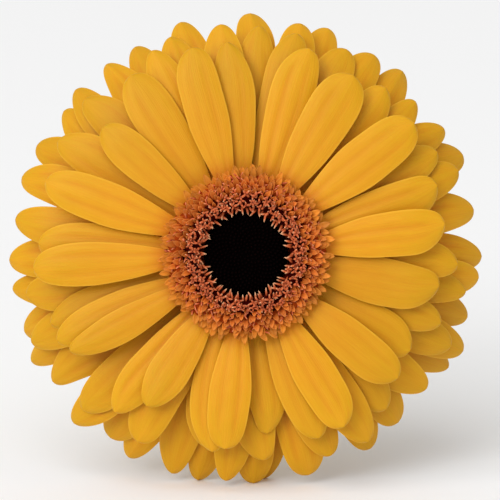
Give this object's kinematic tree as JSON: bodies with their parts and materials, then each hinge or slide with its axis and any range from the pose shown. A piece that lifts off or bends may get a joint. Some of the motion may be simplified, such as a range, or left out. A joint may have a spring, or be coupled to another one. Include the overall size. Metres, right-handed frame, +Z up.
{
  "type": "cut gerbera",
  "caption": "Cut gerbera with a double golden-yellow bloom, a dark eye ringed by orange florets, green bracts and a bare stem, lying on its petal tips and the stem's cut end.",
  "frame": {"origin": "centre of the footprint, on the level surface that the flower lies on", "axes": "+Z up; the stem runs back along +Y from the bloom, and the bloom faces -Y and a little upward; +X is to the right of someone facing the bloom"},
  "size_m": [0.1132, 0.276, 0.11],
  "materials": {
    "ray_petal": "satin",
    "eye_floret": "matte",
    "inner_floret": "matte",
    "outer_floret": "satin",
    "stem": "matte",
    "bract": "matte"
  },
  "bodies": {
    "root": {"eye_florets": "eye_floret", "inner_bracts": "bract", "inner_florets": "inner_floret", "outer_bracts": "bract", "outer_florets": "outer_floret", "petal_01": "ray_petal", "petal_02": "ray_petal", "petal_03": "ray_petal", "petal_04": "ray_petal", "petal_05": "ray_petal", "petal_06": "ray_petal", "petal_07": "ray_petal", "petal_08": "ray_petal", "petal_09": "ray_petal", "petal_10": "ray_petal", "petal_11": "ray_petal", "petal_12": "ray_petal", "petal_13": "ray_petal", "petal_14": "ray_petal", "petal_15": "ray_petal", "petal_16": "ray_petal", "petal_17": "ray_petal", "petal_18": "ray_petal", "petal_19": "ray_petal", "petal_20": "ray_petal", "petal_21": "ray_petal", "petal_22": "ray_petal", "petal_23": "ray_petal", "petal_24": "ray_petal", "petal_25": "ray_petal", "petal_26": "ray_petal", "petal_27": "ray_petal", "petal_28": "ray_petal", "petal_29": "ray_petal", "petal_30": "ray_petal", "petal_31": "ray_petal", "petal_32": "ray_petal", "petal_33": "ray_petal", "petal_34": "ray_petal", "petal_35": "ray_petal", "petal_36": "ray_petal", "petal_37": "ray_petal", "petal_38": "ray_petal", "petal_39": "ray_petal", "petal_40": "ray_petal", "petal_41": "ray_petal", "petal_42": "ray_petal", "petal_43": "ray_petal", "petal_44": "ray_petal", "petal_45": "ray_petal", "petal_46": "ray_petal", "petal_47": "ray_petal", "petal_48": "ray_petal", "petal_49": "ray_petal", "petal_50": "ray_petal", "petal_51": "ray_petal", "petal_52": "ray_petal", "petal_53": "ray_petal", "rim_petals": "ray_petal", "stem": "stem"}
  },
  "joints": []
}
